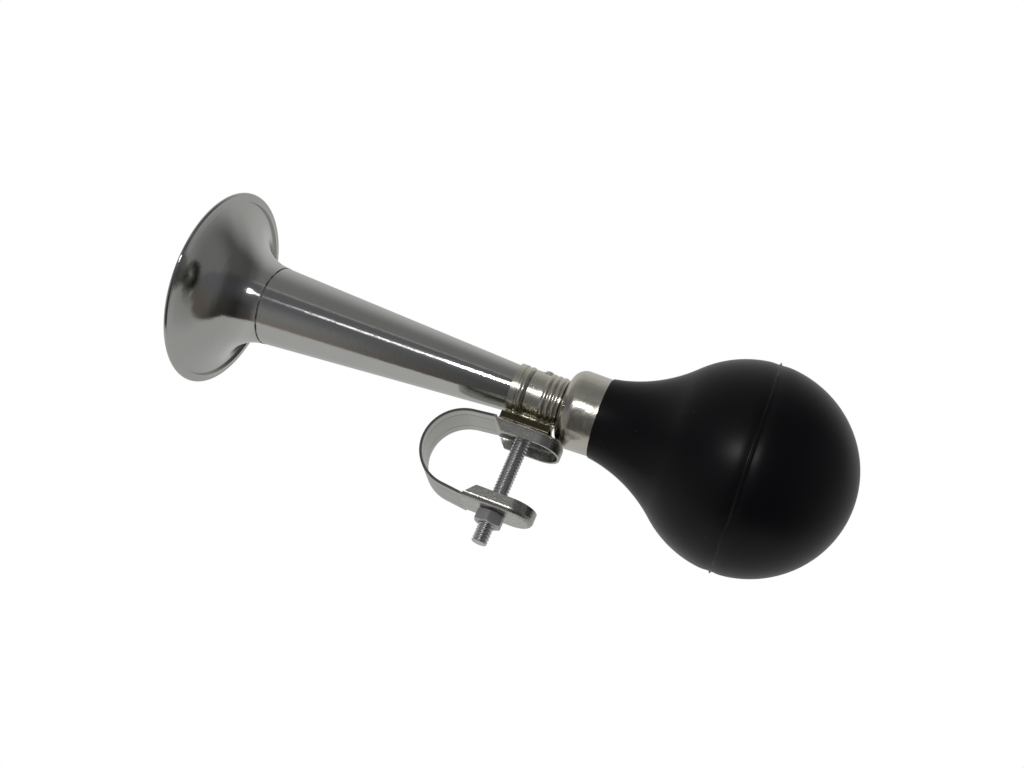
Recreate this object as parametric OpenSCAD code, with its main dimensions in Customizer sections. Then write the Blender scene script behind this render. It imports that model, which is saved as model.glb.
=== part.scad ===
// Bicycle bulb horn: a spun metal trumpet on a handlebar strap clamp, sounded by a rubber bulb and a brass reed.
// Millimetres. The origin is the centre of the clamp's loop, +Y runs along the handlebar, +Z is up, and the horn
// lies along X above the clamp, with its bell towards -X and its bulb towards +X.

/* [Clamp] */
// Inner radius of the handlebar loop
loop_r = 12.2; // [11:0.1:13.5]
// Width of the strap
strap_w = 15; // [13:0.5:18]
// Thickness of the strap
strap_t = 0.8; // [0.6:0.1:1.2]
// Angle at which the strap leaves the loop, in degrees
run_angle = 6.5; // [5:0.5:9]
// Height of the flat ears above the loop's inner radius
ear_rise = 0.7; // [0.5:0.1:1.2]
// Depth of the pressed ears over their flanges
ear_depth = 4.4; // [3:0.1:5]
// Outer radius of the bend between an ear's floor and its flange
ear_bend_r = 1.6; // [1.3:0.1:2]
// Length over which the flanges rise to their full depth
ear_ramp = 3.2; // [2.6:0.1:5]
// Distance from the bolt's axis to the ears' rounded tips
tip_reach = 12.75; // [11:0.25:15]

/* [Bolt and nut] */
// Diameter of the bolt over its thread
bolt_d = 4.9; // [3.9:0.1:5.4]
// Length of the bolt below its head
bolt_l = 38.1; // [36:0.1:44]
// Length of the bolt's square head along the channel
head_l = 8.4; // [7:0.1:10]
// Width of the nut across its flats
nut_af = 8; // [7.5:0.5:10]
// Height of the nut
nut_h = 4; // [3:0.1:5]
// Chamfer of the nut's corners and of the bolt's tip
edge_chamfer = 0.5; // [0.3:0.05:0.8]

/* [Neck band] */
// Thickness of the band's sheet
band_t = 0.7; // [0.5:0.05:0.9]
// Length of the band along the horn
band_l = 16; // [14:0.5:20]
// Outer radius of the band between its beads
band_r = 7.95; // [7.6:0.05:9]
// Distance by which the band's middle lies nearer the bulb than the bolt
band_shift = -0.9; // [-2:0.1:1]
// Length of the cup that takes the end of the tube
cup_l = 2.1; // [1.6:0.1:2.4]
// Width of each rolled bead
bead_w = 1.75; // [1.4:0.05:1.9]
// Height of each rolled bead
bead_h = 0.38; // [0.2:0.02:0.5]
// Distance of the middle of the lone bead from the band's front edge
lone_bead_x = 3.75; // [3.4:0.05:4.2]
// Number of beads at the band's back edge
rear_beads = 3; // [1:1:3]
// Radius of the groove behind the lone bead
groove_r = 0.28; // [0.15:0.01:0.35]
// Outer width of the channel that holds the bolt's head
channel_w = 10; // [9:0.1:12]
// Outer height of the channel
channel_h = 3.4; // [3:0.1:4.5]
// Outer radius of the channel's bends
channel_bend_r = 1; // [0.9:0.05:1.2]
// Height of the waist between the channel and the band's ring
waist_h = 1.65; // [1.4:0.05:3]

/* [Horn] */
// Outer radius of the tube at its wide end
tube_wide_r = 13.15; // [12.5:0.05:14]
// Outer radius of the tube at its narrow end
tube_narrow_r = 7.49; // [7.3:0.01:7.55]
// Length of the tube
tube_l = 87.9; // [70:0.5:110]
// Wall of the tube
tube_t = 0.6; // [0.5:0.05:0.8]
// Thickness of the bell's sheet
bell_t = 0.6; // [0.5:0.05:0.8]
// Outer radius of the bell where it meets the tube
bell_neck_r = 13.25; // [13:0.05:14.2]
// Outer radius of the bell's rim
rim_r = 33; // [30:0.5:38]
// Radius of the first curve of the flare
flare_r = 19.6; // [17:0.2:22]
// Slope of the flare where it leaves the tube, in degrees
flare_start = 3.7; // [2:0.1:6]
// Slope of the flare where its two curves meet, in degrees
flare_turn = 47; // [40:1:54]
// Slope of the flare at the rim, in degrees
flare_end = 77; // [72:1:80]
// Width of the hem that is folded back behind the rim
hem_w = 2.2; // [1.5:0.1:3]
// Length of the bell's neck inside the tube
spigot_l = 5; // [3:0.5:8]

/* [Neck and reed] */
// Length of the sleeve inside the tube
sleeve_grip = 9; // [6:0.5:12]
// Inner radius of the sleeve's throat
throat_r = 4.3; // [3.8:0.1:4.6]
// Outer radius of the sleeve's thread
thread_r = 6.4; // [6.2:0.05:6.6]
// Length of the sleeve's thread behind the band
thread_l = 9.6; // [8:0.1:12]
// Radius of the seat that the reed's plug is pressed in
plug_r = 4.9; // [4.8:0.05:5.2]
// Length of the reed's plug
plug_l = 7.4; // [6:0.1:8]
// Outer radius of the reed's trough
trough_r = 2.95; // [2.7:0.05:3.1]
// Wall of the reed's trough
trough_t = 0.7; // [0.5:0.05:0.9]
// Length by which the trough stands out of its plug
trough_out = 15; // [12:0.5:18]
// Thickness of the reed's tongue
tongue_t = 0.3; // [0.2:0.05:0.4]
// Width of the reed's tongue
tongue_w = 5; // [4.6:0.1:5.2]
// Angle at which the tongue leaves the trough, in degrees
tongue_angle = 2.5; // [2:0.1:3.5]
// Radius of the tongue's curl
tongue_curl_r = 150; // [100:10:200]

/* [Bulb] */
// Gap between the band and the ferrule
ferrule_gap = 0.6; // [0.5:0.1:1.2]
// Length of the ferrule
ferrule_l = 11.95; // [10:0.25:14]
// Outer radius of the ferrule
ferrule_r = 12.7; // [12.5:0.05:12.8]
// Radius by which the ferrule narrows to its back edge
ferrule_taper = 0.2; // [0.1:0.05:0.3]
// Radius of the ferrule's rounded front corner
ferrule_corner_r = 4.5; // [4:0.1:4.8]
// Thickness of the ferrule's sheet
ferrule_t = 0.6; // [0.5:0.05:0.7]
// Outer radius of the threaded insert in the bulb's neck
insert_r = 7.8; // [7.6:0.05:8]
// Outer radius of the insert's flange
insert_flange_r = 8.6; // [8.3:0.05:8.7]
// Length of the insert
insert_l = 15; // [12:0.5:18]
// Thickness of the sealing washer
washer_t = 0.8; // [0.6:0.1:1.2]
// Radius of the bulb's ball
bulb_r = 32.7; // [30:0.1:36]
// Distance from the ferrule's front to the middle of the ball
bulb_reach = 57.9; // [54:0.1:64]
// Radius of the bulb's neck
bulb_neck_r = 12.4; // [12.2:0.1:13]
// Radius of the curve between the neck and the ball
bulb_curve_r = 44; // [38:0.5:50]
// Wall of the bulb
bulb_wall = 3; // [2:0.1:4]
// Height of the moulding line round the bulb
flash_h = 0.25; // [0.1:0.05:0.4]

/* [Hidden] */
$fn = 96;

// Clearances: flat faces that seat, soldered or pressed rounds, running rounds, and an overlap that joins shapes.
seat_gap = 0.05;
fit_gap = 0.03;
run_gap = 0.1;
overlap = 0.2;

// Heights, from the loop up to the horn's axis.
ear_in = loop_r + ear_rise;
ear_out = ear_in + strap_t;
channel_z0 = ear_out + seat_gap;
channel_z1 = channel_z0 + channel_h;
horn_z = channel_z1 + waist_h + band_r;

// The clamp. The bolt stands just clear of the loop, so that the bar fits.
bolt_r = bolt_d / 2;
bolt_x = loop_r + bolt_r + run_gap;
ear_x0 = (ear_in - loop_r * cos(run_angle)) / tan(run_angle) - loop_r * sin(run_angle);
tip_x = bolt_x + tip_reach - strap_w / 2;
ear_edge = ear_out - ear_depth;

// The band.
band_x0 = bolt_x + band_shift - band_l / 2;
band_x1 = band_x0 + band_l;
band_in = band_r - band_t;
bead_r = (bead_w * bead_w / 4 + bead_h * bead_h) / (2 * bead_h);
groove_x = lone_bead_x + bead_w / 2 + groove_r;
head_w = channel_w - 2 * band_t - 2 * run_gap;
head_t = channel_h - 2 * band_t - 2 * seat_gap;
head_z = channel_z0 + band_t + seat_gap;
head_edge = channel_bend_r - band_t;
cup_in = tube_narrow_r + fit_gap + 0.15;
seam_gap = 0.2;

// The tube and the bell.
tube_x1 = band_x0 + cup_l - seat_gap;
tube_x0 = tube_x1 - tube_l;
function tube_at(x) = tube_wide_r + (tube_narrow_r - tube_wide_r) * (x - tube_x0) / tube_l;
edge_r = bell_t * 1.15;
turn_at = [
    bell_neck_r + flare_r * (cos(flare_start) - cos(flare_turn)),
    tube_x0 + flare_r * (sin(flare_start) - sin(flare_turn))
];
flare_r2 = (rim_r - edge_r - turn_at[0]) / (cos(flare_turn) - cos(flare_end));
rim_angle = 180 + flare_end - flare_turn;
hem_angle = hem_w / flare_r2 * 180 / PI;

// The neck and the reed.
sleeve_x0 = tube_x1 - sleeve_grip;
sleeve_x1 = band_x1 + thread_l;
plug_x0 = sleeve_x1 - plug_l;
trough_x0 = plug_x0 + plug_l / 3;
trough_x1 = sleeve_x1 + trough_out;
root_x = sleeve_x1 + 1;
tongue_l = trough_x1 - root_x - trough_t - 0.3;

// The ferrule, the insert and the bulb.
ferrule_x0 = band_x1 + ferrule_gap;
ferrule_x1 = ferrule_x0 + ferrule_l;
insert_x0 = ferrule_x0 + ferrule_t + seat_gap;
insert_x1 = insert_x0 + insert_l;
insert_flange_t = 0.8;
insert_bore = thread_r + seat_gap;
washer_x0 = sleeve_x1 + seat_gap;
step_x = washer_x0 + washer_t + seat_gap;
barbs = 4;
rubber_x0 = insert_x0 + insert_flange_t + seat_gap;
ball_x = ferrule_x0 + bulb_reach;
curve_c = [
    bulb_neck_r + bulb_curve_r,
    ball_x - sqrt(pow(bulb_r + bulb_curve_r, 2) - pow(bulb_neck_r + bulb_curve_r, 2))
];
curve_end = curve_c * bulb_r / (bulb_r + bulb_curve_r) + [0, ball_x * bulb_curve_r / (bulb_r + bulb_curve_r)];

// Turns a half profile, drawn as [radius, place along the horn], about the horn's axis.
module spun() {
    translate([0, 0, horn_z])
        rotate([0, 90, 0])
            rotate_extrude()
                children();
}

// Draws a flat shape in X and Z out to both sides of the handlebar's direction.
module across(width) {
    rotate([90, 0, 0])
        linear_extrude(height = width, center = true)
            children();
}

// Draws a flat shape in Y and Z along the horn, from one place to another.
module along(from, to) {
    translate([from, 0, 0])
        rotate([90, 0, 90])
            linear_extrude(height = to - from)
                children();
}

// Keeps the part of a ring between two angles, less than a third of a turn.
module ring_part(inner, outer, from, to) {
    intersection() {
        difference() {
            circle(outer);
            circle(inner);
        }
        polygon([[0, 0], 2.5 * outer * [cos(from), sin(from)], 2.5 * outer * [cos(to), sin(to)]]);
    }
}

// The strap's loop and its upper straight run, which the lower half mirrors.
module half_loop() {
    ring_part(loop_r, loop_r + strap_t, 90 + run_angle, 140);
    ring_part(loop_r, loop_r + strap_t, 139, 181);
    polygon([
        loop_r * [-sin(run_angle), cos(run_angle)],
        (loop_r + strap_t) * [-sin(run_angle), cos(run_angle)],
        [ear_x0 - strap_t * tan(run_angle / 2), ear_out],
        [ear_x0 + overlap, ear_out],
        [ear_x0 + overlap, ear_in],
        [ear_x0, ear_in]
    ]);
}

// Half the section of an ear: its floor, the bend and the flange.
module ear_section() {
    square_from(0, ear_in, strap_w / 2 - ear_bend_r + 0.01, ear_out);
    translate([strap_w / 2 - ear_bend_r, ear_out - ear_bend_r])
        ring_part(ear_bend_r - strap_t, ear_bend_r, 0, 90);
    square_from(strap_w / 2 - strap_t, ear_edge, strap_w / 2, ear_out - ear_bend_r + 0.01);
}

// A rectangle given by its low and high corners.
module square_from(x0, y0, x1, y1) {
    translate([x0, y0])
        square([x1 - x0, y1 - y0]);
}

// One ear: a shallow pressed pan with a round end, whose flanges rise along a slope.
module ear() {
    difference() {
        union() {
            translate([tip_x, 0, 0]) {
                rotate([90, 0, -90])
                    linear_extrude(height = tip_x - ear_x0) {
                        ear_section();
                        mirror([1, 0])
                            ear_section();
                    }
                rotate([0, 0, -90])
                    rotate_extrude(angle = 180)
                        ear_section();
            }
        }
        across(2 * strap_w)
            polygon([
                [ear_x0 - 1, ear_in],
                [ear_x0, ear_in],
                [ear_x0 + ear_ramp, ear_edge],
                [ear_x0 + ear_ramp, ear_edge - 1],
                [ear_x0 - 1, ear_edge - 1]
            ]);
    }
}

module clamp_strap() {
    color([0.72, 0.72, 0.69])
        difference() {
            union() {
                across(strap_w) {
                    half_loop();
                    mirror([0, 1])
                        half_loop();
                }
                ear();
                mirror([0, 0, 1])
                    ear();
            }
            translate([bolt_x, 0, -2 * ear_out])
                cylinder(r = bolt_r + run_gap, h = 4 * ear_out);
        }
}

module clamp_bolt() {
    color([0.52, 0.53, 0.55])
        translate([bolt_x, 0, head_z]) {
            along(-head_l / 2, head_l / 2)
                polygon([
                    [head_edge - head_w / 2, 0],
                    [-head_w / 2, head_edge],
                    [-head_w / 2, head_t - head_edge],
                    [head_edge - head_w / 2, head_t],
                    [head_w / 2 - head_edge, head_t],
                    [head_w / 2, head_t - head_edge],
                    [head_w / 2, head_edge],
                    [head_w / 2 - head_edge, 0]
                ]);
            rotate_extrude()
                polygon([
                    [0, overlap],
                    [bolt_r, overlap],
                    [bolt_r, edge_chamfer - bolt_l],
                    [bolt_r - edge_chamfer, -bolt_l],
                    [0, -bolt_l]
                ]);
        }
}

module clamp_nut() {
    corner_r = nut_af / sqrt(3);
    color([0.50, 0.51, 0.53])
        translate([bolt_x, 0, -ear_out - seat_gap - nut_h])
            difference() {
                intersection() {
                    cylinder(r = corner_r, h = nut_h, $fn = 6);
                    rotate_extrude()
                        polygon([
                            [0, 0],
                            [corner_r - edge_chamfer, 0],
                            [corner_r + 0.1, edge_chamfer],
                            [corner_r + 0.1, nut_h - edge_chamfer],
                            [corner_r - edge_chamfer, nut_h],
                            [0, nut_h]
                        ]);
                }
                translate([0, 0, -1])
                    cylinder(r = bolt_r + seat_gap, h = nut_h + 2);
            }
}

// The outline of the band's ring, with its cup, beads and back edge, drawn in or out by an amount.
module band_outline(grow) {
    square_from(0, band_x0, cup_in + band_t + grow, band_x0 + cup_l + max(grow, -0.6));
    square_from(0, band_x0, band_r + grow, band_x1);
    for (x = concat([lone_bead_x], [for (i = [0 : rear_beads - 1]) band_l - (i + 0.75) * (bead_w + 0.1)]))
        translate([band_r + bead_h - bead_r, band_x0 + x])
            intersection() {
                circle(bead_r + grow);
                square_from(0, -bead_w, 3 * bead_r, bead_w);
            }
}

// Half the section of the channel and its waist, bent from the ends of the band.
module channel_section() {
    corner = channel_w / 2 - channel_bend_r;
    waist_y = seam_gap / 2 + band_t;
    square_from(seam_gap / 2, channel_z1 - band_t, waist_y, horn_z - cup_in - seat_gap);
    square_from(seam_gap / 2, channel_z1 - band_t, corner + 0.01, channel_z1);
    square_from(channel_w / 2 - band_t, channel_z0 + channel_bend_r - 0.01, channel_w / 2, channel_z1 - channel_bend_r + 0.01);
    square_from(bolt_r + 2 * run_gap, channel_z0, corner + 0.01, channel_z0 + band_t);
    translate([corner, channel_z1 - channel_bend_r])
        ring_part(channel_bend_r - band_t, channel_bend_r, 0, 90);
    translate([corner, channel_z0 + channel_bend_r])
        ring_part(channel_bend_r - band_t, channel_bend_r, 270, 360);
    difference() {
        square_from(waist_y - 0.01, channel_z1 - 0.01, waist_y + band_t, channel_z1 + band_t);
        translate([waist_y + band_t, channel_z1 + band_t])
            circle(band_t);
    }
}

module neck_band() {
    color([0.74, 0.73, 0.66])
        difference() {
            union() {
                spun()
                    difference() {
                        band_outline(0);
                        translate([0, -overlap])
                            square_from(0, band_x0, cup_in, band_x0 + cup_l + overlap);
                        square_from(0, band_x0, band_in, band_x1 + overlap);
                        translate([band_r, band_x0 + groove_x])
                            circle(groove_r);
                    }
                along(band_x0, band_x1) {
                    channel_section();
                    mirror([1, 0])
                        channel_section();
                }
            }
            translate([band_x0 - 1, -seam_gap / 2, channel_z0 - 1])
                cube([band_l + 2, seam_gap, horn_z - channel_z0]);
        }
}

module horn_tube() {
    color([0.78, 0.79, 0.80])
        spun()
            polygon([
                [tube_wide_r, tube_x0],
                [tube_narrow_r, tube_x1],
                [tube_narrow_r - tube_t, tube_x1],
                [tube_wide_r - tube_t, tube_x0]
            ]);
}

module bell() {
    step_r = bell_neck_r - bell_t;
    color([0.80, 0.81, 0.82])
        spun() {
            polygon([
                [bell_neck_r, tube_x0 - seat_gap],
                [tube_at(tube_x0) - tube_t - fit_gap, tube_x0 - seat_gap],
                [tube_at(tube_x0) - tube_t - fit_gap, tube_x0],
                [tube_at(tube_x0 + spigot_l) - tube_t - fit_gap, tube_x0 + spigot_l],
                [tube_at(tube_x0 + spigot_l) - tube_t - fit_gap - bell_t, tube_x0 + spigot_l],
                [tube_at(tube_x0) - tube_t - fit_gap - bell_t, tube_x0],
                [step_r - 0.02, tube_x0 - 1.5 * bell_t]
            ]);
            translate(turn_at)
                rotate(flare_turn) {
                    translate([flare_r, 0])
                        ring_part(flare_r, flare_r + bell_t, 180 + flare_start - flare_turn, 180);
                    translate([flare_r2, 0]) {
                        ring_part(flare_r2, flare_r2 + bell_t, 180, rim_angle);
                        ring_part(flare_r2 - bell_t, flare_r2 + bell_t / 2, rim_angle - hem_angle, rim_angle);
                        translate(flare_r2 * [cos(rim_angle), sin(rim_angle)])
                            circle(edge_r);
                    }
                }
        }
}

module neck_sleeve() {
    grip_in = tube_at(sleeve_x0) - tube_t - fit_gap;
    grip_out = tube_narrow_r - tube_t - fit_gap;
    collar_r = band_in - fit_gap;
    shoulder_x = band_x1 + ferrule_gap / 2;
    color([0.72, 0.60, 0.30])
        spun()
            polygon([
                [grip_in, sleeve_x0],
                [grip_out, tube_x1],
                [grip_out, tube_x1 + seat_gap],
                [collar_r, tube_x1 + seat_gap],
                [collar_r, shoulder_x],
                [thread_r, shoulder_x],
                [thread_r, sleeve_x1],
                [plug_r, sleeve_x1],
                [plug_r, plug_x0],
                [throat_r, plug_x0],
                [throat_r, tube_x1],
                [grip_in - 0.6, sleeve_x0]
            ]);
}

module reed_carrier() {
    color([0.76, 0.62, 0.28])
        spun()
            square_from(trough_r + fit_gap, plug_x0 + seat_gap, plug_r - fit_gap, sleeve_x1);
}

module reed_shallot() {
    color([0.80, 0.66, 0.32])
        translate([0, 0, horn_z])
            difference() {
                along(trough_x0, trough_x1)
                    intersection() {
                        circle(trough_r);
                        square_from(-2 * trough_r, -2 * trough_r, 2 * trough_r, 0);
                    }
                along(trough_x0 - 1, trough_x1 - trough_t)
                    circle(trough_r - trough_t);
            }
}

module reed_tongue() {
    curl = tongue_l / tongue_curl_r * 180 / PI;
    color([0.84, 0.72, 0.40])
        translate([0, 0, horn_z + seat_gap / 2])
            across(tongue_w) {
                square_from(trough_x0 + 1, 0, root_x, tongue_t);
                translate([root_x, 0])
                    rotate(tongue_angle)
                        translate([0, tongue_curl_r])
                            ring_part(tongue_curl_r - tongue_t, tongue_curl_r, 270 - 0.02, 270 + curl);
            }
}

module reed_wedge() {
    z0 = tongue_t + seat_gap;
    color([0.70, 0.56, 0.26])
        translate([0, 0, horn_z])
            intersection() {
                along(trough_x0 + 0.5, root_x - 0.4)
                    intersection() {
                        circle(trough_r);
                        square_from(-2 * trough_r, z0, 2 * trough_r, 2 * trough_r);
                    }
                across(2 * trough_r)
                    polygon([
                        [trough_x0, z0],
                        [trough_x0, z0 + 0.6 * trough_r],
                        [trough_x0 + plug_l / 3, trough_r],
                        [root_x, trough_r],
                        [root_x, z0]
                    ]);
            }
}

// The solid outline of the ferrule, drawn in by an amount.
module ferrule_outline(inset) {
    corner_x = ferrule_x0 + ferrule_corner_r;
    flat_r = ferrule_r - ferrule_corner_r;
    translate([flat_r, corner_x])
        intersection() {
            circle(ferrule_corner_r - inset);
            square_from(0, -2 * ferrule_corner_r, 2 * ferrule_corner_r, 0);
        }
    square_from(0, ferrule_x0 + inset, flat_r + 0.001, corner_x);
    polygon([
        [0, corner_x - 0.001],
        [ferrule_r - inset, corner_x - 0.001],
        [ferrule_r - inset - ferrule_taper, ferrule_x1],
        [0, ferrule_x1]
    ]);
}

module bulb_ferrule() {
    color([0.76, 0.75, 0.68])
        spun()
            difference() {
                ferrule_outline(0);
                ferrule_outline(ferrule_t);
                square_from(0, ferrule_x0 - 1, thread_r + 3 * run_gap, ferrule_x1 + 1);
                square_from(0, ferrule_x1 - 0.01, ferrule_r - ferrule_t - ferrule_taper, ferrule_x1 + 1);
            }
}

module neck_insert() {
    barb_l = (insert_l - insert_flange_t) / barbs;
    color([0.70, 0.58, 0.30])
        spun()
            difference() {
                union() {
                    square_from(0, insert_x0, insert_flange_r, insert_x0 + insert_flange_t);
                    for (i = [0 : barbs - 1])
                        translate([0, insert_x0 + insert_flange_t + i * barb_l])
                            polygon([[0, 0], [insert_r, 0], [insert_r - 0.3, barb_l], [0, barb_l]]);
                }
                square_from(0, insert_x0 - 1, insert_bore, step_x);
                square_from(0, step_x - 1, plug_r + 0.6, insert_x1 + 1);
            }
}

module sealing_washer() {
    color([0.16, 0.15, 0.14])
        spun()
            square_from(plug_r + 0.6, washer_x0, insert_bore - seat_gap, washer_x0 + washer_t);
}

// The outline of the bulb outside its ferrule, drawn in by an amount.
module bulb_outline(inset) {
    ball_r = bulb_r - inset;
    curve_r = bulb_curve_r + inset;
    reach = bulb_r / (bulb_r + bulb_curve_r);
    tangent = [curve_c[0] * ball_r / (bulb_r + bulb_curve_r), ball_x + (curve_c[1] - ball_x) * ball_r / (bulb_r + bulb_curve_r)];
    translate([0, ball_x])
        intersection() {
            circle(ball_r);
            square_from(0, -2 * ball_r, 2 * ball_r, 2 * ball_r);
        }
    difference() {
        polygon([[0, curve_c[1]], [bulb_neck_r - inset, curve_c[1]], tangent, [0, tangent[1]]]);
        translate(curve_c)
            circle(curve_r);
    }
}

module bulb() {
    color([0.10, 0.11, 0.13])
        spun()
            difference() {
                union() {
                    difference() {
                        bulb_outline(0);
                        square_from(0, 0, bulb_r, ferrule_x1 + seat_gap);
                    }
                    intersection() {
                        ferrule_outline(ferrule_t + seat_gap);
                        square_from(0, rubber_x0, bulb_r, ferrule_x1);
                    }
                    square_from(0, ferrule_x1 - overlap, ferrule_r - ferrule_t - ferrule_taper - seat_gap, ferrule_x1 + overlap);
                    polygon([
                        [bulb_r - overlap, ball_x - 2 * flash_h],
                        [bulb_r + flash_h, ball_x - flash_h / 2],
                        [bulb_r + flash_h, ball_x + flash_h / 2],
                        [bulb_r - overlap, ball_x + 2 * flash_h]
                    ]);
                }
                difference() {
                    bulb_outline(bulb_wall);
                    square_from(0, 0, bulb_r, insert_x1 + seat_gap);
                }
                square_from(0, 0, insert_r + seat_gap, insert_x1 + overlap);
            }
}

clamp_strap();
clamp_bolt();
clamp_nut();
neck_band();
horn_tube();
bell();
neck_sleeve();
reed_carrier();
reed_shallot();
reed_tongue();
reed_wedge();
bulb_ferrule();
neck_insert();
sealing_washer();
bulb();
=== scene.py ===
"""Bicycle bulb horn: the finish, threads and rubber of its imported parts, and the stage it is shown on."""

import math

import bpy
from bpy.props import FloatProperty, FloatVectorProperty, IntProperty, PointerProperty
from bpy.types import Operator, Panel, PropertyGroup
from mathutils import Matrix, Vector, noise


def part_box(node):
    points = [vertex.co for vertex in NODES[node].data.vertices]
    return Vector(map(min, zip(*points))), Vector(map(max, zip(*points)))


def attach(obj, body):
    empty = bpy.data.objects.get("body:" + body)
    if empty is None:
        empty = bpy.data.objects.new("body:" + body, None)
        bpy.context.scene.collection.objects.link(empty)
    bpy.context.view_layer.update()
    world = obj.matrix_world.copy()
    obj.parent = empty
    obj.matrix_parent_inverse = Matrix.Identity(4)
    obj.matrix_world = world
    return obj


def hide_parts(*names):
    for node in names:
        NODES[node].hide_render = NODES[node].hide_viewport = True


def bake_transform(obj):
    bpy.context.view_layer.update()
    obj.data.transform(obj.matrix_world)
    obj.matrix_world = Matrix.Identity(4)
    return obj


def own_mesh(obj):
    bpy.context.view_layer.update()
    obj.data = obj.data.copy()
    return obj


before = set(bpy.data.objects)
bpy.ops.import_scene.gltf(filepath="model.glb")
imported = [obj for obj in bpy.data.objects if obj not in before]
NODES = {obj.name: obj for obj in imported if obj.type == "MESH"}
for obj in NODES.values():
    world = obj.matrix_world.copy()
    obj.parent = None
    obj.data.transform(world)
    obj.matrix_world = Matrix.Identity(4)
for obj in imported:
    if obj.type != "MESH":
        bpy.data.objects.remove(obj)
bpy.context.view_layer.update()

bl_info = {
    "name": "Bicycle bulb horn",
    "version": (1, 0, 0),
    "blender": (4, 5, 0),
    "location": "View3D > Sidebar > Bulb horn",
    "description": "Builds the finish, threads and rubber of a bicycle bulb horn over its packed parts",
    "category": "Object",
}

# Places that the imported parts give, in metres
BELL_LO, BELL_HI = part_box("bell")
TUBE_LO, TUBE_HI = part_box("horn_tube")
BAND_LO, BAND_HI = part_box("neck_band")
FERRULE_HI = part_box("bulb_ferrule")[1]
BULB_LO, BULB_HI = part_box("bulb")
BOLT_LO, BOLT_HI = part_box("clamp_bolt")
NUT_LO, NUT_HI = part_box("clamp_nut")
STRAP_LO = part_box("clamp_strap")[0]
SLEEVE_LO, SLEEVE_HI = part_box("neck_sleeve")
INSERT_LO, INSERT_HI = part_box("neck_insert")
TONGUE_LO, TONGUE_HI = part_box("reed_tongue")
TROUGH_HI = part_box("reed_shallot")[1]
HORN_Z = (BELL_LO.z + BELL_HI.z) / 2
BOLT_X = (NUT_LO.x + NUT_HI.x) / 2
MM = 0.001
# Where the ears' flanges begin on the strap
EAR_X = STRAP_LO.x + 18.45 * MM
SMOOTH_ANGLE = math.radians(32)

# The bolt's and the horn's own lines: a point, the direction along, and the direction where a spin starts
BOLT_LINE = ((BOLT_X, 0, 0), (0, 0, 1), (1, 0, 0))
HORN_LINE = ((0, 0, HORN_Z), (1, 0, 0), (0, 0, 1))

# Steps in one turn of each spun piece
PIP_STEPS = 32
BOLT_STEPS = 48
NECK_STEPS = 72
NUT_STEPS = 96
BULB_STEPS = 192

# Cells a metre in the patterns of the plating
MOTTLE_CELLS = 70.0
PATCH_CELLS = 120.0
DENT_CELLS = 330.0
PIT_CELLS = 1100.0
PEEL_CELLS = 1800.0
LINE_CELLS = 2400.0
# Cells a metre in the patterns of the dirt, the strap's ears and the rubber
WAVER_CELLS = 160.0
BREAK_CELLS = 450.0
SPECK_CELLS = 900.0
EAR_CELLS = 1700.0
BLOOM_CELLS = 38.0
GRAIN_CELLS = 1500.0
DUST_CELLS = 420.0

# Colours of dirt, dust and the bare bore, and of painted shade and a painted rim sheen
# Old flux at a soldered seam, and painted shade in a narrow gap
DIRT_AND_SHADE = (0.080, 0.075, 0.060, 1)
# Painted shade on the underside of the neck band's ring, and darker on the wall of its channel
UNDERSIDE_SHADE = (0.30, 0.26, 0.16, 1)
CHANNEL_SHADE = (0.050, 0.038, 0.020, 1)
# Painted shade along the edges and creases of the strap's loop
STRAP_SHADE = (0.07, 0.068, 0.06, 1)
BARE_BORE = (0.24, 0.235, 0.22, 1)
DUST = (0.015, 0.015, 0.015, 1)
# Painted sheen: the rubber's colour where it is seen at a grazing angle
RUBBER_RIM_SHEEN = (0.128, 0.131, 0.136, 1)

# Directions of the camera's right and up. It looks up from below, as the photographed horn lay on its side
CAMERA_RIGHT = (0.9228, 0.0638, 0.3800)
CAMERA_UP = (-0.3181, -0.4301, 0.8449)


def length(label, text, value):
    """A length in metres, shown to a hundredth of a millimetre."""
    return FloatProperty(name=label, description=text, default=value, precision=5, unit="LENGTH")


def plain(label, text, value):
    """A number without a unit."""
    return FloatProperty(name=label, description=text, default=value, precision=4)


def tint(label, text, value):
    """A colour that a user may change."""
    return FloatVectorProperty(
        name=label, description=text, default=value, size=3, subtype="COLOR", min=0.0, max=1.0
    )


class HornBulbSettings(PropertyGroup):
    """Sizes of the rubber bulb and its moulding seam"""

    ball_r: length("Ball radius", "Radius of the bulb's round end", 32.7 * MM)
    neck_r: length("Neck radius", "Radius of the bulb's neck where it is slimmest", 12.4 * MM)
    curve_r: length("Neck curve", "Radius of the hollow curve from the neck to the ball", 44.0 * MM)
    wall: length("Wall", "Thickness of the rubber", 3.0 * MM)
    seam_height: length("Seam height", "Height of the moulding seam round the ball", 0.30 * MM)
    seam_width: length("Seam width", "Half width of the moulding seam", 0.28 * MM)
    dip_depth: length("Seam dip", "How far the rubber sinks in beside the seam", 0.28 * MM)
    dip_width: length("Seam dip width", "Half width of the dip beside the seam", 1.90 * MM)
    nub_height: length("Nub height", "Height of the two small nubs on the seam", 0.75 * MM)
    keep: plain("Squeezed share", "Share of its length that the squeezed bulb keeps", 0.847)


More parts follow.
